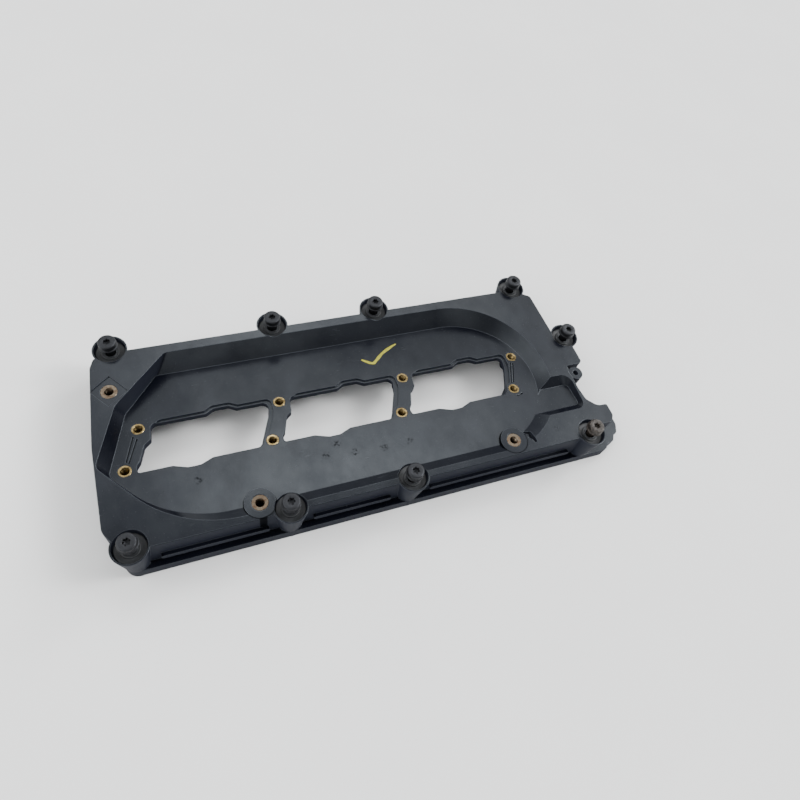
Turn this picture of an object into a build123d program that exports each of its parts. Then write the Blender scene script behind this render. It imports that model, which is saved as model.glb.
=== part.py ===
from build123d import *
import math
import os

os.makedirs("parts", exist_ok=True)

# Plastic valve cover of one bank of a V6, with captive screws. All sizes in mm.
# Plan positions are taken from the middle of the four outermost front and far screws,
# +X along the cover, +Y towards the far long side, Z up from the sealing face.

# ---- levels and skins ---------------------------------------------------------------
deck_z = 34.0              # flat top face, also the rim of every screw cup
flange_t = 8.8             # thickness of the sealing flange
skin_t = 3.0               # roof, pan floor and pan walls
below = 1.0                # how far cutting bodies run past a face

# ---- tilted floor of the sunk pan ---------------------------------------------------
floor_tilt = 6.0           # about X, lower towards the far side, degrees
floor_ref_y = -18.3        # line of the near row of inserts
floor_ref_drop = 6.3       # floor depth under the deck on that line

# ---- top face outline: x, y, corner radius ------------------------------------------
deck_front_y = -70.5
deck_far_y = 65.25
deck_corners = [
    (-163.0, deck_front_y, 1.0), (160.0, deck_front_y, 2.0), (163.5, -64.0, 1.5),
    (175.3, -64.0, 3.0), (178.9, -59.0, 4.0), (178.5, -49.4, 1.5), (171.0, -49.4, 8.0),
    (164.3, -42.0, 6.0), (162.8, -31.0, 6.0), (163.2, -11.8, 0.6),
    (175.0, -11.8, 1.0), (176.9, -9.9, 1.5), (176.5, 6.0, 3.0), (170.0, 14.0, 3.0),
    (165.2, 19.0, 3.0), (163.0, 56.6, 3.0), (157.0, 60.5, 2.0), (152.0, deck_far_y, 2.0),
    (-154.0, deck_far_y, 2.0), (-161.8, 62.0, 3.0), (-164.5, 55.5, 6.0),
    (-168.7, -2.0, 40.0), (-168.7, -56.0, 9.0), (-163.0, -64.6, 3.0),
]

# ---- sealing flange outline: x, y, corner radius ------------------------------------
flange_front_y = -75.4
flange_far_y = 69.5
flange_corners = [
    (-163.3, flange_front_y, 8.0), (177.6, flange_front_y, 5.0), (182.2, -71.2, 0.8),
    (187.2, -70.4, 2.5), (190.6, -65.4, 0.8), (193.4, -65.0, 4.0), (196.8, -57.5, 5.0),
    (196.8, -47.0, 6.0), (183.0, -39.0, 8.0), (173.0, -33.5, 4.0), (173.0, -28.0, 3.0),
    (181.0, -24.0, 5.0), (181.0, 8.0, 6.0), (169.5, 24.0, 6.0), (167.2, 58.0, 8.0),
    (157.0, flange_far_y, 6.0), (-160.0, flange_far_y, 8.0), (-168.8, 56.0, 10.0),
    (-172.6, -5.0, 40.0), (-172.4, -44.0, 10.0), (-163.3, -66.0, 6.0),
]

# ---- pan: crease in the top face and foot of its walls on the floor -----------------
crease_corners = [
    (-118.5, 58.7, 6.0), (-152.8, 24.8, 12.0), (-168.2, -14.8, 6.0),
    (-126.7, -66.5, 75.0), (146.2, -66.5, 58.0), (146.2, 58.7, 66.0),
]
foot_corners = [
    (-126.9, 50.5, 4.0), (-148.9, 23.2, 8.0), (-162.3, -20.0, 6.0),
    (-129.0, -60.5, 70.0), (137.3, -60.5, 56.0), (137.3, 50.5, 54.5),
]

# ---- side trough that opens into the pan --------------------------------------------
trough_top = [
    (112.0, -48.1, 2.0), (161.2, -48.1, 6.0), (161.2, -18.2, 8.5),
    (139.5, -18.2, 14.0), (116.0, -41.7, 2.0),
]
trough_foot = [
    (118.0, -43.4, 1.5), (159.4, -43.4, 3.0), (159.4, -24.3, 4.0),
    (136.0, -24.3, 3.0), (120.5, -39.8, 1.5),
]

# ---- three ports through the pan floor ----------------------------------------------
port_pitch = 90.0
port_count = 3
port_corners = [
    (-134.9, 12.7, 4.0), (-136.0, 1.0, 3.0), (-140.2, -2.6, 3.0), (-144.0, -13.6, 2.0),
    (-146.4, -17.0, 1.5), (-145.9, -21.6, 1.5), (-126.0, -21.6, 3.0),
    (-117.0, -24.9, 5.0), (-109.5, -24.9, 5.0), (-101.5, -21.6, 3.0), (-71.4, -21.6, 3.0),
    (-61.8, 1.0, 8.0), (-59.0, 12.7, 4.0), (-80.3, 12.7, 2.0), (-85.3, 15.8, 4.0),
    (-95.2, 15.8, 4.0), (-100.4, 12.7, 2.0),
]
port_depth = 4.5           # from the floor to the foot of the port walls
port_wall_t = 2.4

# ---- gasket seat along the far and right sides of a port ----------------------------
seat_corners = [
    (-134.6, 14.5, 5.0), (-128.0, -6.0, 2.0), (-76.0, -19.0, 1.0), (-70.0, -20.4, 1.0),
    (-67.6, -14.3, 2.0), (-64.0, -12.2, 3.0), (-59.8, -2.5, 6.0), (-57.6, 4.5, 6.0),
    (-57.4, 14.5, 4.0), (-79.5, 14.5, 2.0), (-84.5, 17.6, 4.0), (-96.0, 17.6, 4.0), (-101.2, 14.5, 2.0),
]
seat_depth = 1.2

# ---- thin relief grooves beside the outer ports -------------------------------------
groove_w = 0.9
groove_depth = 1.0
groove_ends = [
    ((-145.9, 5.1), (-151.7, -12.8)), ((-143.8, 3.0), (-150.2, -13.8)),
    ((125.1, 5.2), (116.8, -12.9)), ((126.9, 4.7), (118.8, -12.9)),
    ((116.5, -24.0), (116.9, -25.6)), ((116.6, -25.3), (121.2, -23.6)),
]

# ---- screw cups: plan positions, a front left and on round the cover ----------------
front_cup_y = -67.8
far_cup_y = 67.8
cup_at = {
    "a": (-155.3, front_cup_y), "b": (-63.5, front_cup_y), "c": (16.9, front_cup_y),
    "d": (155.3, front_cup_y), "e": (174.1, 14.4), "f": (150.2, far_cup_y),
    "g": (32.8, far_cup_y), "h": (-43.9, far_cup_y), "i": (-151.2, far_cup_y),
}
flange_lobes = "efghi"     # cups that stand outside the flange and need a lobe there
lobe_r = 10.0
cup_rim_r = 10.9           # outside, at the deck
cup_root_r = 7.75          # outside, on the flange
cup_wall_t = 1.0
cup_floor_z = 16.0         # shelf the rubber stands on
sleeve_hole_r = 4.8

# ---- rubber grommets, steel sleeves, screws -----------------------------------------
grommet_fit = 0.1          # slack between rubber and cup
grommet_top_z = 30.8       # at the cup wall, dished towards the sleeve
grommet_dish = 0.7
lip_r = 5.8                # raised ring round the sleeve
lip_top_z = 31.0
sleeve_r = 4.4
sleeve_bore_r = 3.3
sleeve_top_z = 31.2
stop_ring_r = 2.8          # ring inside the sleeve that keeps the thread from leaving
stop_ring_z = 19.5
stop_ring_t = 1.5
thread_r = 3.0             # M6
thread_len = 16.0
tip_chamfer = 1.0
shank_r = 2.5
collar_r = 4.8
collar_z = 36.8
brim_r = 6.0
brim_z = 38.0
head_r = 5.6
head_z = 39.4
head_top_z = 43.3
head_chamfer = 0.8
socket_r = 1.7             # six-lobed drive
socket_lobe_r = 0.6
socket_depth = 2.6
socket_lobes = 6

# ---- threaded inserts ---------------------------------------------------------------
far_row_y = 10.3
near_row_y = -18.3
far_row_x = (-142.5, -52.2, 37.9, 128.1)
near_row_x = (-153.1, -63.2, 27.0, 116.4)
small_r = 4.15
small_bore_r = 2.5         # M6 core
small_len = 8.0
small_boss_r = 6.4
large_at = ((-155.1, 36.2), (-80.7, -60.6), (95.0, -60.1))
large_r = 5.2
large_bore_r = 2.5         # M6 core
large_len = 12.0
large_boss_r = 8.0
insert_fit = 0.02          # pressed in
insert_chamfer = 0.4
boss_floor_t = 2.5         # solid left under a blind hole

# ---- raised pads round the large inserts --------------------------------------------
square_pad = (15.6, 16.2)
square_pad_turn = 37.0
square_pad_drop = 0.8      # its top is spot-faced under the deck
round_pad_r = 9.6
web_corners = [            # joins the right-hand pad to the front wall
    (96.0, -68.5, 1.0), (109.4, -67.4, 0.5), (106.2, -60.4, 2.0), (102.6, -54.8, 1.0),
]
pocket_corners = [         # beside that web
    (107.0, -55.2, 0.8), (105.5, -54.6, 0.4), (107.4, -60.2, 2.0), (109.9, -65.6, 0.5),
    (111.6, -64.9, 0.6), (110.6, -56.0, 1.0),
]
pocket_z = 30.4
pocket_floor_t = 2.0
pocket_under_corners = [   # thickened skin below it
    (103.6, -67.0, 1.0), (113.6, -67.0, 1.0), (112.9, -53.6, 1.0), (103.6, -53.6, 1.0),
]

# ---- hollow tube on the right edge --------------------------------------------------
tube_at = (168.7, -18.2)
tube_r = 5.5
tube_bore_r = 2.1
tube_drop = 2.0            # its top under the deck
tube_gap = 1.0             # left round it in the deck

# ---- rail along the front wall ------------------------------------------------------
rail_z = 16.5              # middle of its height
rail_t = 4.0
rail_out = 2.6
rail_end = 14.0            # stops this far short of each screw

# ---- shadow groove under the deck along the front wall ------------------------------
lip_z = 32.3
lip_t = 0.9
lip_depth = 1.2
lip_end = 12.5

# ---- perimeter gasket ---------------------------------------------------------------
gasket_inset = 0.7         # outer side of the groove, in from the top face outline
gasket_w = 2.6
gasket_depth = 3.5
gasket_fit = 0.1
gasket_round_screw_r = 6.6
land_w = 1.3               # solid beside the groove on the inner side


# ---- helpers ------------------------------------------------------------------------
def floor_z(x, y):
    """Height of the tilted pan floor."""
    return deck_z - floor_ref_drop - (y - floor_ref_y) * math.tan(math.radians(floor_tilt))


def under_floor_z(x, y):
    """Underside of the pan floor."""
    return floor_z(x, y) - skin_t


def at_level(z):
    """A flat level at height z."""
    return lambda x, y: z


def outline(corners, level):
    """Closed wire through (x, y, radius) corners, laid on a level."""
    bends = []
    for i, (x, y, r) in enumerate(corners):
        here = Vector(x, y)
        back = (Vector(*corners[i - 1][:2]) - here).normalized()
        on = (Vector(*corners[(i + 1) % len(corners)][:2]) - here).normalized()
        half = math.radians(back.get_angle(on)) / 2
        middle = (back + on).normalized()
        reach = r / math.tan(half)
        bends.append((here + back * reach, here + middle * (r / math.sin(half) - r),
                      here + on * reach))
    bends = [[Vector(p.X, p.Y, level(p.X, p.Y)) for p in bend] for bend in bends]
    edges = []
    for i, (start, mid, end) in enumerate(bends):
        edges += [Line(bends[i - 1][2], start), ThreePointArc(start, mid, end)]
    return Wire(edges)


def grown(corners, by):
    """The same corners with every side moved outwards (inwards if negative)."""
    area = sum(a[0] * b[1] - b[0] * a[1] for a, b in zip(corners, corners[1:] + corners[:1]))
    turn = 1 if area > 0 else -1
    moved = []
    for i, (x, y, r) in enumerate(corners):
        here = Vector(x, y)
        came = (here - Vector(*corners[i - 1][:2])).normalized()
        goes = (Vector(*corners[(i + 1) % len(corners)][:2]) - here).normalized()
        out_a = Vector(came.Y, -came.X) * turn
        out_b = Vector(goes.Y, -goes.X) * turn
        step = (out_a + out_b) * (by / (1 + out_a.dot(out_b)))
        bulges = (came.X * goes.Y - came.Y * goes.X) * turn > 0
        radius = r + by if bulges else r - by
        moved.append((x + step.X, y + step.Y, max(radius, min(r, skin_t / 10))))
    return moved


def moved_on(corners, dx):
    """Corners shifted along X."""
    return [(x + dx, y, r) for x, y, r in corners]


def plate(corners, z0, z1):
    """Upright prism over an outline."""
    return extrude(Face(outline(corners, at_level(z0))), z1 - z0, dir=(0, 0, 1))


def basin(top, foot, foot_level):
    """Sunk space with sloping walls from an outline in the top face to one on a floor."""
    return Solid.make_loft([outline(top, at_level(deck_z)), outline(foot, foot_level)], ruled=True)


def disc(r, x, y, z0, z1):
    """Upright cylinder."""
    return Pos(x, y, z0) * Cylinder(r, z1 - z0, align=(Align.CENTER, Align.CENTER, Align.MIN))


def cone(r0, r1, x, y, z0, z1):
    """Upright cone from radius r0 at z0 to r1 at z1."""
    return Pos(x, y, z0) * Cone(r0, r1, z1 - z0, align=(Align.CENTER, Align.CENTER, Align.MIN))


def turned(profile):
    """Solid of revolution about Z from (radius, z) points."""
    points = [(r, 0, z) for r, z in profile]
    return revolve(Face(Wire(Polyline(*points, close=True))), Axis.Z)


def cup_outer_r(z):
    """Outside radius of a screw cup at height z."""
    share = (z - flange_t) / (deck_z - flange_t)
    return cup_root_r + (cup_rim_r - cup_root_r) * share


def cup_inner_r(z):
    """Inside radius of a screw cup at height z."""
    return cup_outer_r(z) - cup_wall_t


floor_normal = Vector(0, math.sin(math.radians(floor_tilt)), math.cos(math.radians(floor_tilt)))


def on_floor(x, y):
    """Place on the pan floor with Z along its normal."""
    return Plane(origin=(x, y, floor_z(x, y)), x_dir=(1, 0, 0), z_dir=floor_normal).location


def floor_slab(corners, up, down):
    """Prism square to the pan floor, from up above it to down below it."""
    face = Face(outline(corners, floor_z)).moved(Location(floor_normal * up))
    return extrude(face, up + down, dir=-floor_normal)


def floor_disc(r, x, y, up, down):
    """Cylinder square to the pan floor."""
    return on_floor(x, y) * Pos(0, 0, -down) * Cylinder(
        r, up + down, align=(Align.CENTER, Align.CENTER, Align.MIN))


# ---- cover --------------------------------------------------------------------------
small_at = [(x, far_row_y) for x in far_row_x] + [(x, near_row_y) for x in near_row_x]
ports = [moved_on(port_corners, port_pitch * k) for k in range(port_count)]
seats = [moved_on(seat_corners, port_pitch * k) for k in range(port_count)]

deck_face = Face(outline(deck_corners, at_level(0)))
seal_face = offset(deck_face, -gasket_inset, kind=Kind.INTERSECTION)
for x, y in cup_at.values():
    seal_face -= Pos(x, y) * Circle(gasket_round_screw_r)
groove_inner = offset(seal_face, -gasket_w, kind=Kind.INTERSECTION)
cavity_face = offset(groove_inner, -land_w, kind=Kind.INTERSECTION)

outside = plate(deck_corners, 0, deck_z) + plate(flange_corners, 0, flange_t)
for name, (x, y) in cup_at.items():
    outside += cone(cup_root_r, cup_rim_r, x, y, flange_t, deck_z)
    outside += disc(lobe_r if name in flange_lobes else cup_root_r, x, y, 0, flange_t)
front_x = [cup_at[name][0] for name in "abcd"]
for x0, x1 in zip(front_x, front_x[1:]):
    rail = extrude(SlotOverall(x1 - x0 - 2 * rail_end, rail_t), rail_out + below)
    outside += Pos((x0 + x1) / 2, deck_front_y + below, rail_z) * Rot(90, 0, 0) * rail
outside += disc(tube_r, *tube_at, 0, deck_z - tube_drop)

# Space under the roof, leaving the pan, the port walls and the insert bosses standing.
cavity = extrude(cavity_face, deck_z - skin_t, dir=(0, 0, 1))
cavity -= basin(grown(crease_corners, skin_t), grown(foot_corners, skin_t), under_floor_z)
cavity -= basin(grown(trough_top, skin_t), grown(trough_foot, skin_t), under_floor_z)
for port in ports:
    cavity -= floor_slab(grown(port, port_wall_t), 0, port_depth)
for x, y in small_at:
    cavity -= floor_disc(small_boss_r, x, y, 0, small_len + boss_floor_t)
for x, y in large_at:
    cavity -= disc(large_boss_r, x, y, deck_z - large_len - boss_floor_t, deck_z)
cavity -= disc(tube_r, *tube_at, 0, deck_z)
cavity -= plate(pocket_under_corners, pocket_z - pocket_floor_t, deck_z)

cover = outside - cavity
cover -= basin(crease_corners, foot_corners, floor_z)
cover -= basin(trough_top, trough_foot, floor_z)

# Pads round the large inserts rise from the pan to the deck.
for i, (x, y) in enumerate(large_at):
    root_z = under_floor_z(x, y)
    if i:
        cover += disc(round_pad_r, x, y, root_z, deck_z)
    else:
        pad = Pos(x, y) * Rot(0, 0, square_pad_turn)
        cover += pad * Pos(0, 0, (root_z + deck_z) / 2) * Box(*square_pad, deck_z - root_z)
        cover -= pad * Pos(0, 0, deck_z) * Box(*square_pad, 2 * square_pad_drop)
cover += plate(web_corners, pocket_z, deck_z)
cover -= plate(pocket_corners, pocket_z, deck_z + below)

for port, seat in zip(ports, seats):
    cover -= floor_slab(seat, below, seat_depth)
    cover -= floor_slab(port, below, port_depth + below)
for start, end in groove_ends:
    ends = [Vector(x, y, floor_z(x, y)) for x, y in (start, end)]
    line = Edge.make_line(*ends)
    across = floor_normal.cross(line % 0) * (groove_w / 2)
    path = Wire.make_polygon([ends[0] + across, ends[1] + across, ends[1] - across,
                              ends[0] - across], close=True)
    cover -= extrude(Face(path), groove_depth, dir=-floor_normal)

for x, y in small_at:
    cover -= floor_disc(small_r, x, y, below, small_len)
for i, (x, y) in enumerate(large_at):
    top_z = deck_z if i else deck_z - square_pad_drop
    cover -= disc(large_r, x, y, top_z - large_len, deck_z + below)
for x, y in cup_at.values():
    cover -= cone(cup_inner_r(cup_floor_z), cup_inner_r(deck_z + below), x, y,
                  cup_floor_z, deck_z + below)
    cover -= disc(sleeve_hole_r, x, y, -below, cup_floor_z)
cover -= disc(tube_r + tube_gap, *tube_at, deck_z - tube_drop, deck_z + below)
cover -= disc(tube_bore_r, *tube_at, -below, deck_z)
for x0, x1 in zip(front_x, front_x[1:]):
    cover -= Pos((x0 + x1) / 2, deck_front_y, lip_z + lip_t / 2) * Box(
        x1 - x0 - 2 * lip_end, 2 * lip_depth, lip_t)
cover -= extrude(seal_face - groove_inner, gasket_depth, dir=(0, 0, 1))

# ---- loose parts --------------------------------------------------------------------
grommet = turned([
    (sleeve_r, cup_floor_z), (cup_inner_r(cup_floor_z) - grommet_fit, cup_floor_z),
    (cup_inner_r(grommet_top_z) - grommet_fit, grommet_top_z),
    (lip_r, grommet_top_z - grommet_dish), (lip_r, lip_top_z), (sleeve_r, lip_top_z),
])
sleeve = turned([
    (sleeve_bore_r, 0), (sleeve_r, 0), (sleeve_r, sleeve_top_z), (sleeve_bore_r, sleeve_top_z),
    (sleeve_bore_r, stop_ring_z + stop_ring_t), (stop_ring_r, stop_ring_z + stop_ring_t),
    (stop_ring_r, stop_ring_z), (sleeve_bore_r, stop_ring_z),
])
screw = turned([
    (0, 0), (thread_r - tip_chamfer, 0), (thread_r, tip_chamfer), (thread_r, thread_len),
    (shank_r, thread_len), (shank_r, collar_z), (collar_r, collar_z), (collar_r, brim_z),
    (brim_r, brim_z), (brim_r, head_z), (head_r, head_z),
    (head_r, head_top_z - head_chamfer), (head_r - head_chamfer, head_top_z), (0, head_top_z),
])
drive = Circle(socket_r)
for k in range(socket_lobes):
    drive += Rot(0, 0, k * 360 / socket_lobes) * Pos(socket_r, 0) * Circle(socket_lobe_r)
screw -= Pos(0, 0, head_top_z - socket_depth) * extrude(drive, socket_depth, dir=(0, 0, 1))


def insert(r, bore_r, length):
    """Brass bush with its mouth at Z = 0, running down."""
    out = r - insert_fit
    return turned([
        (bore_r, -length), (out, -length), (out, 0), (bore_r + insert_chamfer, 0),
        (bore_r, -insert_chamfer),
    ])


small_insert = insert(small_r, small_bore_r, small_len)
large_insert = insert(large_r, large_bore_r, large_len)

side_fit = gasket_fit
gasket_face = offset(seal_face, -side_fit, kind=Kind.INTERSECTION) - offset(
    seal_face, side_fit - gasket_w, kind=Kind.INTERSECTION)
gasket = extrude(gasket_face, gasket_depth, dir=(0, 0, 1))

# ---- name, centre on the cover and write --------------------------------------------
nodes = {"cover": cover, "gasket": gasket}
for name, (x, y) in cup_at.items():
    nodes["screw_" + name] = Pos(x, y) * screw
    nodes["grommet_" + name] = Pos(x, y) * grommet
    nodes["sleeve_" + name] = Pos(x, y) * sleeve
for row, at_y, row_x in (("far", far_row_y, far_row_x), ("near", near_row_y, near_row_x)):
    for k, x in enumerate(row_x):
        nodes[f"insert_{row}_{k + 1}"] = on_floor(x, at_y) * small_insert
for k, (x, y) in enumerate(large_at):
    top_z = deck_z if k else deck_z - square_pad_drop
    nodes[f"insert_deck_{k + 1}"] = Pos(x, y, top_z) * large_insert

box = cover.bounding_box()
centre = Pos(-(box.min.X + box.max.X) / 2, -(box.min.Y + box.max.Y) / 2)
for name, body in nodes.items():
    export_step(centre * body, f"parts/{name}.step")
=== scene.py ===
import bpy
import math
from mathutils import Matrix, Vector


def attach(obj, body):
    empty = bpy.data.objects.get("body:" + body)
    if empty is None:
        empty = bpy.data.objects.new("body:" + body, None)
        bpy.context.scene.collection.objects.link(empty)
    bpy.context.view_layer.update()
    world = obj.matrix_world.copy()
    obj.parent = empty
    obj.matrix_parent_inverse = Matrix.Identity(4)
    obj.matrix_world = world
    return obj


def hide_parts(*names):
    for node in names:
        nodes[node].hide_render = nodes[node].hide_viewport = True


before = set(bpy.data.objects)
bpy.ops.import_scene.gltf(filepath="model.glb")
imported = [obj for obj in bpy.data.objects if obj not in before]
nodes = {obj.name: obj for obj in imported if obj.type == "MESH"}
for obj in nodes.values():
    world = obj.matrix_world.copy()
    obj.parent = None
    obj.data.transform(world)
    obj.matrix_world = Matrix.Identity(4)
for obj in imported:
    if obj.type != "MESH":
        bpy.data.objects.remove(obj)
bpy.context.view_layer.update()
MM = 0.001

# ---- where things are, mm, in the part's own frame ----------------------------------
SHIFT = -12.103                      # plan centre of the screws to the frame's origin
DECK = 34.0
TILT = math.radians(6.0)
CUPS = {
    "a": (-155.3, -67.8), "b": (-63.5, -67.8), "c": (16.9, -67.8), "d": (155.3, -67.8),
    "e": (174.1, 14.4), "f": (150.2, 67.8), "g": (32.8, 67.8), "h": (-43.9, 67.8),
    "i": (-151.2, 67.8),
}
FAR_ROW = (-142.5, -52.2, 37.9, 128.1)
NEAR_ROW = (-153.1, -63.2, 27.0, 116.4)
DECK_INSERTS = ((-155.1, 36.2), (-80.7, -60.6), (95.0, -60.1))
MARKS = ((-112.4, -35.4), (5.7, -41.8), (-23.8, -31.7), (-33.1, -38.0), (24.4, -41.7),
         (-14.2, -40.6), (130.5, -58.9))
SPIN = dict(zip("abcdefghi", (12, 40, 25, 8, 33, 20, 50, 3, 28)))
PAD_SHADE_R = 9.85                    # thin ring of painted shade round deck inserts 2 and 3
PAD_SHADE_HALF = 0.3
PAD_TOP_R = 9.6                      # shinier top of the pad at deck insert 2
MARK_R = 2.6                         # dark specks on the pan floor
BORE_R = 3.3                         # faces of an insert inside this radius, and deeper than this, are its bore, darkened as painted shade
MOUTH_DEPTH = 0.4                    # and deeper than this, are its oily bore
SHARP = math.radians(38)             # edges steeper than this stay sharp
FLOOR_HALF = 6.0                     # metres
FLOOR_DROP = 0.0002


def floor_z(y):
    return DECK - 6.3 - (y + 18.3) * math.tan(TILT)


# ---- materials ----------------------------------------------------------------------
class Mat:
    """A node material built a node at a time."""

    def __init__(self, name, colour, rough, metal=0.0, spec=0.5):
        self.mat = bpy.data.materials.new(name)
        self.mat.use_nodes = True
        self.tree = self.mat.node_tree
        self.bsdf = self.tree.nodes["Principled BSDF"]
        self.bsdf.inputs["Base Color"].default_value = (*colour, 1)
        self.bsdf.inputs["Roughness"].default_value = rough
        self.bsdf.inputs["Metallic"].default_value = metal
        self.bsdf.inputs["Specular IOR Level"].default_value = spec
        self.coord = self.tree.nodes.new("ShaderNodeTexCoord").outputs["Object"]

    def node(self, kind, **sets):
        n = self.tree.nodes.new(kind)
        for key, value in sets.items():
            setattr(n, key, value)
        return n

    def link(self, a, b):
        self.tree.links.new(a, b)
        return self

    def noise(self, scale, detail=3.0, rough=0.5, stretch=None, seed=0.0):
        m = self.node("ShaderNodeMapping")
        m.inputs["Scale"].default_value = stretch or (1, 1, 1)
        m.inputs["Location"].default_value = (seed, seed * 0.7, seed * 1.3)
        self.link(self.coord, m.inputs["Vector"])
        n = self.node("ShaderNodeTexNoise")
        n.inputs["Scale"].default_value = scale
        n.inputs["Detail"].default_value = detail
        n.inputs["Roughness"].default_value = rough
        self.link(m.outputs["Vector"], n.inputs["Vector"])
        return n.outputs["Fac"]

    def ramp(self, fac, *stops):
        r = self.node("ShaderNodeValToRGB")
        els = r.color_ramp.elements
        while len(els) < len(stops):
            els.new(0.5)
        for el, (pos, value) in zip(els, stops):
            el.position = pos
            el.color = (*value, 1) if isinstance(value, tuple) else (value, value, value, 1)
        self.link(fac, r.inputs["Fac"])
        return r.outputs["Color"]

    def mix(self, fac, a, b, blend="MIX"):
        m = self.node("ShaderNodeMix", data_type="RGBA", blend_type=blend)
        for socket, value in ((m.inputs[0], fac), (m.inputs[6], a), (m.inputs[7], b)):
            if isinstance(value, bpy.types.NodeSocket):
                self.link(value, socket)
            elif isinstance(value, tuple):
                socket.default_value = (*value, 1)
            else:
                socket.default_value = value
        return m.outputs[2]

    def math(self, op, a, b=0.0, clamp=False):
        m = self.node("ShaderNodeMath", operation=op, use_clamp=clamp)
        for socket, value in zip(m.inputs, (a, b)):
            if isinstance(value, bpy.types.NodeSocket):
                self.link(value, socket)
            else:
                socket.default_value = value
        return m.outputs[0]

    def spot(self, x, y, z, r, soft=0.4):
        """1 inside a ball of r mm about a point, 0 outside."""
        d = self.node("ShaderNodeVectorMath", operation="DISTANCE")
        self.link(self.coord, d.inputs[0])
        d.inputs[1].default_value = (x * MM, y * MM, z * MM)
        ramp = self.node("ShaderNodeMapRange", interpolation_type="SMOOTHSTEP")
        self.link(d.outputs["Value"], ramp.inputs["Value"])
        ramp.inputs["From Min"].default_value = r * MM * (1 - soft)
        ramp.inputs["From Max"].default_value = r * MM * (1 + soft)
        ramp.inputs["To Min"].default_value = 1.0
        ramp.inputs["To Max"].default_value = 0.0
        return ramp.outputs["Result"]

    def away(self, x, y):
        """Plan distance from an upright axis, metres."""
        flat_at = self.node("ShaderNodeVectorMath", operation="MULTIPLY")
        self.link(self.coord, flat_at.inputs[0])
        flat_at.inputs[1].default_value = (1, 1, 0)
        d = self.node("ShaderNodeVectorMath", operation="DISTANCE")
        self.link(flat_at.outputs[0], d.inputs[0])
        d.inputs[1].default_value = (x * MM, y * MM, 0)
        return d.outputs["Value"]

    def edges(self, radius, gain):
        """1 on convex and concave edges, where the colour is lightened for wear and as a painted
        highlight, and the rounded normal.
        """
        bev = self.node("ShaderNodeBevel", samples=6)
        bev.inputs["Radius"].default_value = radius
        geo = self.node("ShaderNodeNewGeometry")
        dot = self.node("ShaderNodeVectorMath", operation="DOT_PRODUCT")
        self.link(bev.outputs[0], dot.inputs[0]).link(geo.outputs["Normal"], dot.inputs[1])
        away = self.math("SUBTRACT", 1.0, dot.outputs["Value"])
        return self.math("MULTIPLY", away, gain, clamp=True), bev.outputs[0]

    def bump(self, height, strength, distance, normal=None):
        """Surface relief, over a rounded normal where one is given."""
        b = self.node("ShaderNodeBump")
        b.inputs["Strength"].default_value = strength
        b.inputs["Distance"].default_value = distance
        self.link(height, b.inputs["Height"])
        if normal is not None:
            self.link(normal, b.inputs["Normal"])
        self.link(b.outputs[0], self.bsdf.inputs["Normal"])

    def colour(self, out):
        self.link(out, self.bsdf.inputs["Base Color"])

    def rough(self, out):
        self.link(out, self.bsdf.inputs["Roughness"])


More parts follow.
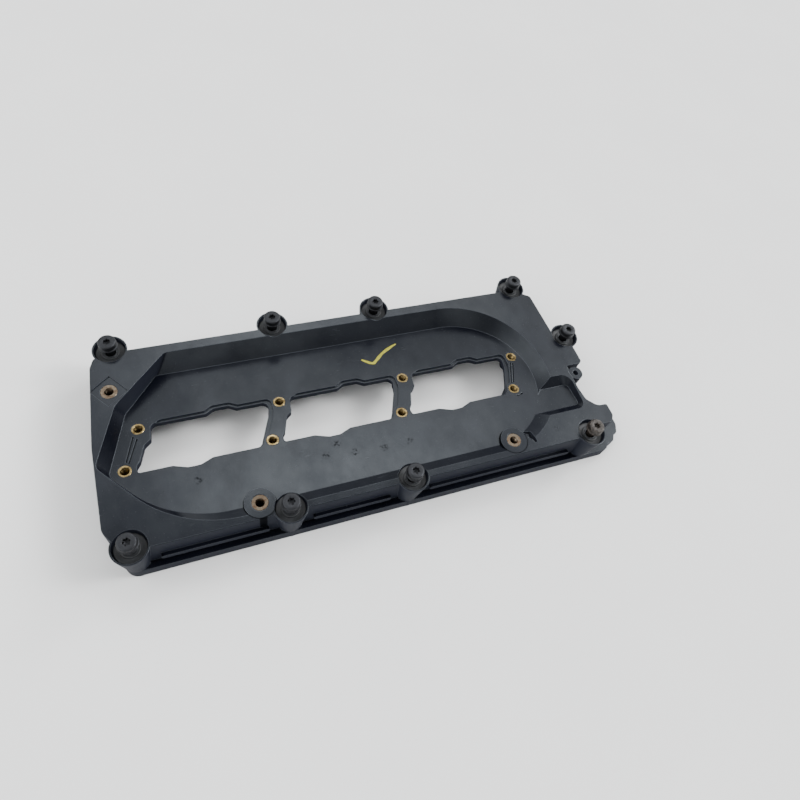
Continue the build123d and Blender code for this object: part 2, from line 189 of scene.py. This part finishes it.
def plastic():
    m = Mat("moulded_black_nylon", (0.003, 0.004, 0.005), 0.3)
    m.bsdf.inputs["Specular Tint"].default_value = (0.86, 0.935, 0.99, 1)
    cloud = m.noise(14, 4, 0.6)
    blotch = m.noise(75, 4, 0.65, seed=2)
    grain = m.noise(1600, 2, 0.6, seed=3)
    patch = m.ramp(m.noise(40, 3, 0.6, seed=13), (0.48, 0.0), (0.62, 1.0))
    scuff = m.ramp(m.noise(420, 2, 0.5, stretch=(0.3, 1.5, 1.0), seed=11),
                   (0.665, 0.0), (0.70, 1.0), (0.735, 0.0))
    scuff = m.math("MULTIPLY", scuff, patch)
    dust = m.ramp(m.noise(900, 2, 0.7, seed=7), (0.68, 0.0), (0.76, 1.0))
    edge_wear_and_highlight, soft = m.edges(0.0006, 12.0)
    # 0 in grooves and corners, 1 in the open; grooves and corners get painted shade
    hollow = m.node("ShaderNodeAmbientOcclusion", samples=8, only_local=True)
    hollow.inputs["Distance"].default_value = 0.0014
    clear = m.ramp(hollow.outputs["AO"], (0.32, 0.0), (0.62, 1.0))
    edge_wear_and_highlight = m.math("MULTIPLY", edge_wear_and_highlight, clear)
    base = m.mix(m.ramp(cloud, (0.3, 0.0), (0.75, 1.0)), (0.0018, 0.0022, 0.0044),
                 (0.0034, 0.0040, 0.0074))
    # 0 on steep faces, 1 on level ones: steep faces get a lighter colour, which is painted light,
    #                                    and less sheen and more roughness
    facing = m.node("ShaderNodeSeparateXYZ")
    m.link(m.node("ShaderNodeNewGeometry").outputs["Normal"], facing.inputs[0])
    upward = m.node("ShaderNodeMapRange", interpolation_type="SMOOTHSTEP")
    m.link(facing.outputs["Z"], upward.inputs["Value"])
    upward.inputs["From Min"].default_value = 0.1
    upward.inputs["From Max"].default_value = 0.5
    upward = upward.outputs["Result"]
    # painted light: steep faces coloured lighter than level ones
    base = m.mix(upward, (0.0150, 0.0170, 0.0245), base)
    base = m.mix(m.math("MULTIPLY", scuff, 0.5), base, (0.023, 0.026, 0.030))
    base = m.mix(m.math("MULTIPLY", dust, 0.25), base, (0.06, 0.06, 0.06))
    # edges lightened: partly wear, partly a painted highlight on the creases
    base = m.mix(m.math("MULTIPLY", edge_wear_and_highlight, 0.7), base, (0.058, 0.064, 0.074))
    marks = None
    for x, y in MARKS:
        mark = m.math("MULTIPLY", m.spot(x + SHIFT, y, floor_z(y), MARK_R, 0.5),
                      m.ramp(m.noise(700, 3, 0.7, seed=x), (0.5, 0.0), (0.58, 1.0)))
        marks = mark if marks is None else m.math("MAXIMUM", marks, mark)
    base = m.mix(m.math("MULTIPLY", marks, 0.8), base, (0.0008, 0.0009, 0.0012))
    pad_shade_rings = None
    for x, y in DECK_INSERTS[1:]:
        d = m.away(x + SHIFT, y)
        off = m.math("ABSOLUTE", m.math("SUBTRACT", d, PAD_SHADE_R * MM))
        line = m.math("LESS_THAN", off, PAD_SHADE_HALF * MM)
        pad_shade_rings = line if pad_shade_rings is None else m.math("MAXIMUM", pad_shade_rings, line)
    # painted shade: a dark thin ring round the pads of deck inserts 2 and 3
    base = m.mix(m.math("MULTIPLY", pad_shade_rings, 0.9), base, (0.0006, 0.0007, 0.001))
    # painted shade: darker colour in grooves and corners
    base = m.mix(clear, (0.0006, 0.0007, 0.001), base)
    m.colour(base)
    shine = m.math("SUBTRACT", 1.0, m.math("MULTIPLY", m.math("MAXIMUM", pad_shade_rings, marks), 0.8))
    shine = m.math("MULTIPLY", shine, m.math("ADD", m.math("MULTIPLY", clear, 0.75), 0.25))
    smear = m.noise(34, 5, 0.68, stretch=(1.0, 0.6, 1.0), seed=17)
    shine = m.math("MULTIPLY", shine, m.ramp(smear, (0.36, 0.72), (0.60, 1.0)))
    x, y = DECK_INSERTS[1]
    pad = m.math("LESS_THAN", m.away(x + SHIFT, y), PAD_TOP_R * MM)
    shine = m.math("MULTIPLY", shine, m.math("ADD", m.math("MULTIPLY", pad, 0.6), 1.0))
    level = m.math("ADD", m.math("MULTIPLY", upward, 0.335), 0.03)
    m.link(m.math("MULTIPLY", shine, level), m.bsdf.inputs["Specular IOR Level"])
    rough = m.math("ADD", m.math("MULTIPLY", blotch, 0.14), 0.14)
    rough = m.math("ADD", rough, m.math("MULTIPLY", dust, 0.2))
    rough = m.math("SUBTRACT", m.math("ADD", rough, 0.27), m.math("MULTIPLY", upward, 0.27))
    m.rough(m.math("ADD", rough, m.math("MULTIPLY", edge_wear_and_highlight, 0.08)))
    m.bump(m.math("ADD", grain, m.math("MULTIPLY", blotch, 0.6)), 0.1, 0.00022, soft)
    return m.mat


def rubber(name, colour):
    m = Mat(name, colour, 0.62, spec=0.4)
    dirt = m.ramp(m.noise(260, 4, 0.65), (0.45, 0.0), (0.75, 1.0))
    m.colour(m.mix(m.math("MULTIPLY", dirt, 0.5), colour, tuple(c * 2.2 + 0.012 for c in colour)))
    m.rough(m.math("ADD", m.math("MULTIPLY", dirt, 0.2), 0.52))
    m.bump(m.noise(1400, 3, 0.6, seed=2), 0.25, 0.0002)
    return m.mat


def steel(name, colour, rust=0.0):
    m = Mat(name, colour, 0.4, metal=0.85)
    tone = m.noise(320, 4, 0.6, seed=1)
    pits = m.ramp(m.noise(1500, 3, 0.7, seed=4), (0.35, 0.0), (0.62, 1.0))
    base = m.mix(tone, tuple(c * 0.75 for c in colour), tuple(c * 1.35 for c in colour))
    if rust:
        where = m.ramp(m.noise(650, 4, 0.7, seed=8), (0.42, 0.0), (0.56, 1.0))
        tint = m.mix(pits, (0.012, 0.008, 0.0055), (0.042, 0.032, 0.023))
        base = m.mix(m.math("MULTIPLY", where, rust), base, tint)
        m.link(m.math("SUBTRACT", 0.8, m.math("MULTIPLY", where, 0.7), clamp=True),
               m.bsdf.inputs["Metallic"])
    m.colour(base)
    m.rough(m.math("ADD", m.math("MULTIPLY", pits, 0.2), 0.34))
    m.bump(m.math("ADD", tone, m.math("MULTIPLY", pits, 0.6)), 0.2, 0.0002)
    return m.mat


def brass(name, light, dark):
    m = Mat(name, light, 0.3, metal=1.0)
    turn = m.noise(700, 2, 0.5, stretch=(1, 1, 0.1), seed=6)
    stain = m.ramp(m.noise(380, 4, 0.65, seed=9), (0.38, 0.0), (0.68, 1.0))
    m.colour(m.mix(stain, light, dark))
    m.rough(m.math("ADD", m.math("MULTIPLY", stain, 0.25), 0.18))
    m.bump(turn, 0.15, 0.0001)
    return m.mat


def paint():
    m = Mat("yellow_paint_pen", (0.5, 0.46, 0.02), 0.5)
    thin = m.ramp(m.noise(600, 3, 0.6), (0.3, 0.0), (0.7, 1.0))
    m.colour(m.mix(thin, (0.20, 0.19, 0.006), (0.36, 0.33, 0.010)))
    m.bump(m.noise(900, 2, 0.5, seed=2), 0.3, 0.0001)
    return m.mat


def paper():
    m = Mat("pale_floor", (0.83, 0.83, 0.825), 0.85, spec=0.2)
    wave = m.noise(9, 3, 0.5)
    m.colour(m.mix(m.ramp(wave, (0.3, 0.0), (0.7, 1.0)), (0.82, 0.82, 0.815),
                   (0.85, 0.85, 0.84)))
    m.bump(m.noise(300, 3, 0.5), 0.05, 0.0005)
    return m.mat


BLACK = plastic()
SEAL = rubber("brown_seal_rubber", (0.055, 0.026, 0.018))
GROMMET = rubber("black_grommet_rubber", (0.008, 0.009, 0.0105))
SCREW = steel("phosphated_steel", (0.025, 0.026, 0.029))
RUSTY = steel("rusty_steel", (0.022, 0.020, 0.019), rust=0.95)
ZINC = steel("dull_zinc", (0.040, 0.042, 0.045))
BRASS = brass("bright_brass", (0.28, 0.21, 0.095), (0.075, 0.05, 0.021))
COPPERY = brass("tarnished_brass", (0.130, 0.108, 0.080), (0.075, 0.045, 0.027))
# painted shade: dark brass for the deep faces of the insert bores
BORE_SHADE = brass("bore_painted_shade", (0.02, 0.015, 0.009), (0.006, 0.005, 0.004))


def dress(obj, mat):
    obj.data.materials.clear()
    obj.data.materials.append(mat)


for name, obj in nodes.items():
    dress(obj, BLACK if name == "cover" else SEAL if name == "gasket" else
          GROMMET if name.startswith("grommet") else ZINC)


# ---- turned pieces ------------------------------------------------------------------
def turned(name, rings, seg, place, mat, closed=False, inside=None):
    """A turned piece from rings of (radius, z), mm.

    A radius may be a function of angle and z; inside is the material of a bore.
    """
    verts, loops = [], []
    for r, z in rings:
        if r == 0:
            loops.append([len(verts)])
            verts.append((0, 0, z * MM))
            continue
        loop = []
        for k in range(seg):
            a = 2 * math.pi * k / seg
            rr = r(a, z) if callable(r) else r
            loop.append(len(verts))
            verts.append((rr * MM * math.cos(a), rr * MM * math.sin(a), z * MM))
        loops.append(loop)
    faces = []
    for a, b in zip(loops, loops[1:] + (loops[:1] if closed else [])):
        for k in range(seg):
            n = (k + 1) % seg
            if len(a) == 1:
                faces.append((a[0], b[n], b[k]))
            elif len(b) == 1:
                faces.append((a[k], a[n], b[0]))
            else:
                faces.append((a[k], a[n], b[n], b[k]))
    mesh = bpy.data.meshes.new(name)
    mesh.from_pydata(verts, [], faces)
    mesh.update()
    mesh.shade_smooth()
    mesh.set_sharp_from_angle(angle=SHARP)
    if inside:
        for face in mesh.polygons:
            deep = face.center.z / MM < -MOUTH_DEPTH
            if deep and math.hypot(*face.center.xy) / MM < BORE_R:
                face.material_index = 1
    mesh.transform(place)
    obj = bpy.data.objects.new(name, mesh)
    bpy.context.scene.collection.objects.link(obj)
    dress(obj, mat)
    if inside:
        obj.data.materials.append(inside)
    return obj


def thread(r, pitch, depth, z0, z1, outward=-1):
    """Radius of a thread: r at its crest, cut by depth, fading out at both ends."""
    def radius(a, z):
        fade = min(1.0, max(0.0, min(z - z0, z1 - z) / pitch))
        phase = (z / pitch - a / (2 * math.pi)) % 1.0
        return r + outward * depth * fade * (1 - abs(2 * phase - 1))
    return radius


def lobed(a, z):
    """Outline of a six-lobe socket."""
    return 1.93 + 0.34 * math.cos(6 * a)


def steps(z0, z1, step):
    n = max(1, round((z1 - z0) / step))
    return [z0 + (z1 - z0) * k / n for k in range(n + 1)]


def flat(x, y, z, spin=0.0):
    return Matrix.Translation(Vector((x + SHIFT, y, z)) * MM) @ Matrix.Rotation(
        math.radians(spin), 4, "Z")


def tilted(x, y):
    """Square to the pan floor: +Z turned towards +Y."""
    return Matrix.Translation(Vector((x + SHIFT, y, floor_z(y))) * MM) @ Matrix.Rotation(
        -TILT, 4, "X")


m6 = thread(3.0, 1.0, 0.5, 0.8, 16.0)
SCREW_RINGS = [(0, 0), (2.1, 0), (2.5, 0.5)] + [(m6, z) for z in steps(0.8, 15.8, 1 / 6)] + [
    (2.5, 16.0), (2.5, 36.4), (2.7, 36.8), (4.6, 36.8), (4.8, 37.0), (4.8, 37.9), (5.7, 38.0),
    (5.95, 38.2), (6.0, 38.5), (6.0, 38.9), (5.9, 39.25), (5.6, 39.45), (5.55, 39.7),
    (5.6, 42.2), (5.5, 42.7), (5.2, 43.05), (4.75, 43.25), (4.2, 43.3), (3.1, 43.28),
    (lambda a, z: lobed(a, z) + 0.35, 43.2), (lobed, 42.85), (lobed, 40.9),
    (lambda a, z: lobed(a, z) * 0.6, 40.5), (0, 40.35),
]
GROMMET_RINGS = [
    (4.4, 16.05), (7.3, 16.05), (7.53, 16.3), (9.3, 30.2), (9.2, 30.6), (8.9, 30.78),
    (8.4, 30.72), (7.2, 30.42), (6.3, 30.2), (5.95, 30.25), (5.8, 30.45), (5.7, 30.85),
    (5.4, 31.0), (4.75, 31.0), (4.4, 30.85),
]
SLEEVE_RINGS = [
    (3.3, 0.3), (3.6, 0), (4.2, 0), (4.4, 0.25), (4.4, 30.95), (4.15, 31.2), (3.6, 31.2),
    (3.3, 30.9), (3.3, 21.0), (2.8, 20.9), (2.8, 19.6), (3.3, 19.5),
]


def insert_rings(out, core, pitch, depth, length):
    cut = thread(core, pitch, depth, -length, -0.45, outward=1)
    inner = [(cut, z) for z in reversed(steps(-length + 0.2, -0.45, pitch / 6))]
    return [(core + 0.42, -0.02), (core + 0.3, -0.14), (core + 0.02, -0.42)] + inner + [
        (core + 0.3, -length), (out, -length), (out, -0.2), (out - 0.25, 0)]


def stand_in(name, rings, seg, place, mat, body, closed, inside=None):
    obj = turned(name + "_look", rings, seg, place, mat, closed, inside)
    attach(obj, body)
    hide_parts(name)
    return obj


for c, (x, y) in CUPS.items():
    stand_in(f"screw_{c}", SCREW_RINGS, 48, flat(x, y, 0, SPIN[c]),
             RUSTY if c == "d" else SCREW, f"screw_{c}_body", False)
    stand_in(f"grommet_{c}", GROMMET_RINGS[::-1], 48, flat(x, y, 0), GROMMET, "cover_body", True)
    stand_in(f"sleeve_{c}", SLEEVE_RINGS[::-1], 40, flat(x, y, 0), ZINC, "cover_body", True)
for row, y, xs in (("far", 10.3, FAR_ROW), ("near", -18.3, NEAR_ROW)):
    for k, x in enumerate(xs):
        stand_in(f"insert_{row}_{k + 1}", insert_rings(4.13, 2.5, 1.0, 0.45, 8.0), 40,
                 tilted(x, y), BRASS, "cover_body", True, BORE_SHADE)
for k, (x, y) in enumerate(DECK_INSERTS):
    stand_in(f"insert_deck_{k + 1}", insert_rings(5.18, 2.5, 1.0, 0.5, 12.0), 48,
             flat(x, y, DECK if k else DECK - 0.8), COPPERY, "cover_body", True, BORE_SHADE)

# ---- paint-pen tick on the pan floor ------------------------------------------------
TICK = [(14.0, 33.0), (20.5, 27.0), (24.0, 29.5), (33.0, 37.5), (44.0, 42.0)]


def stroke(points, width, lift):
    """A brushed ribbon laid on the pan floor through plan points."""
    curve = bpy.data.curves.new("tick_path", "CURVE")
    curve.dimensions = "3D"
    line = curve.splines.new("NURBS")
    line.points.add(len(points) - 1)
    for p, (x, y) in zip(line.points, points):
        p.co = ((x + SHIFT) * MM, y * MM, floor_z(y) * MM, 1)
    line.order_u = 3
    line.use_endpoint_u = True
    line.resolution_u = 16
    obj = bpy.data.objects.new("tick_path", curve)
    mesh = bpy.data.meshes.new_from_object(obj)
    path = [v.co.copy() for v in mesh.vertices]
    bpy.data.objects.remove(obj)
    up = Vector((0, math.sin(TILT), math.cos(TILT)))
    verts, faces = [], []
    n = len(path)
    for i, p in enumerate(path):
        run = (path[min(i + 1, n - 1)] - path[max(i - 1, 0)]).normalized()
        side = up.cross(run)
        share = i / (n - 1)
        half = width * MM / 2 * (0.55 + 0.45 * min(1.0, 7 * share, 7 * (1 - share))) * (
            1 + 0.12 * math.sin(23 * share))
        for s, h in ((-1, 0.2), (-0.6, 1), (0.6, 1), (1, 0.2)):
            verts.append(p + side * half * s + up * lift * MM * h)
    for i in range(n - 1):
        for j in range(3):
            a = 4 * i + j
            faces.append((a, a + 4, a + 5, a + 1))
    mesh = bpy.data.meshes.new("paint_tick")
    mesh.from_pydata(verts, [], faces)
    mesh.shade_smooth()
    obj = bpy.data.objects.new("paint_tick", mesh)
    bpy.context.scene.collection.objects.link(obj)
    return obj


tick = stroke(TICK, 2.2, 0.07)
dress(tick, paint())
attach(tick, "cover_body")

# ---- floor, light, camera -----------------------------------------------------------
floor_mesh = bpy.data.meshes.new("floor")
H = FLOOR_HALF
floor_mesh.from_pydata([(-H, -H, 0), (H, -H, 0), (H, H, 0), (-H, H, 0)], [], [(0, 1, 2, 3)])
floor = bpy.data.objects.new("floor", floor_mesh)
bpy.context.scene.collection.objects.link(floor)
dress(floor, paper())
floor.location.z = -FLOOR_DROP

# soft patches of light round the room: azimuth and elevation in degrees, tightness, strength
LIGHT = (
    (-12, 40, 110, 45), (4, 50, 110, 10), (20, 50, 110, 4), (24, 30, 110, 22),
    (50, 50, 110, 4), (50, 60, 110, 2), (70, 57, 110, 7), (91, 60, 110, 4),
    (86, 50, 110, 2), (90, 12, 11.5, 1.3), (150, 40, 11.5, 3.3), (195, 40, 11.5, 3.7),
    (270, 12, 11.5, 1.5),
)
AMBIENT = 0.32                       # the even light between the patches
world = bpy.context.scene.world or bpy.data.worlds.new("world")
bpy.context.scene.world = world
world.use_nodes = True
sky = world.node_tree
back = sky.nodes["Background"]
back.inputs["Color"].default_value = (0.98, 0.99, 1.0, 1)
coord = sky.nodes.new("ShaderNodeTexCoord")
way = sky.nodes.new("ShaderNodeVectorMath")
way.operation = "NORMALIZE"
sky.links.new(coord.outputs["Generated"], way.inputs[0])
total = None
for azimuth, elevation, tight, strength in LIGHT:
    az, el = math.radians(azimuth), math.radians(elevation)
    facing = sky.nodes.new("ShaderNodeVectorMath")
    facing.operation = "DOT_PRODUCT"
    sky.links.new(way.outputs[0], facing.inputs[0])
    facing.inputs[1].default_value = (
        math.cos(el) * math.cos(az), math.cos(el) * math.sin(az), math.sin(el))
    out = facing.outputs["Value"]
    for operation, value in (("SUBTRACT", 1.0), ("MULTIPLY", tight), ("EXPONENT", None),
                             ("MULTIPLY", strength)):
        step = sky.nodes.new("ShaderNodeMath")
        step.operation = operation
        sky.links.new(out, step.inputs[0])
        if value is not None:
            step.inputs[1].default_value = value
        out = step.outputs[0]
    add = sky.nodes.new("ShaderNodeMath")
    add.operation = "ADD"
    sky.links.new(out, add.inputs[0])
    if total is None:
        add.inputs[1].default_value = AMBIENT
    else:
        sky.links.new(total, add.inputs[1])
    total = add.outputs[0]
sky.links.new(total, back.inputs["Strength"])

# the photograph's viewing angle, mm and degrees
EYE = (-106.1, -195.1, 393.29)
FOCAL_PX, WIDTH_PX, SENSOR = 614.05, 800, 36.0
PITCH, ROLL, YAW = (math.radians(a) for a in (57.786, -19.871, 35.917))
ahead = Vector((0, math.cos(PITCH), -math.sin(PITCH)))
right = Vector((1, 0, 0))
down = ahead.cross(right)
r2 = math.cos(ROLL) * right + math.sin(ROLL) * down
d2 = -math.sin(ROLL) * right + math.cos(ROLL) * down
turn = Matrix.Rotation(-YAW, 3, "Z")
r2, d2, ahead = turn @ r2, turn @ d2, turn @ ahead
data = bpy.data.cameras.new("camera")
data.sensor_width = SENSOR
data.lens = FOCAL_PX / WIDTH_PX * SENSOR
data.clip_start = 0.01
camera = bpy.data.objects.new("camera", data)
camera.matrix_world = Matrix.Translation(Vector((EYE[0] + SHIFT, *EYE[1:])) * MM) @ Matrix(
    (r2, -d2, -ahead)).transposed().to_4x4()
bpy.context.scene.collection.objects.link(camera)
bpy.context.scene.camera = camera
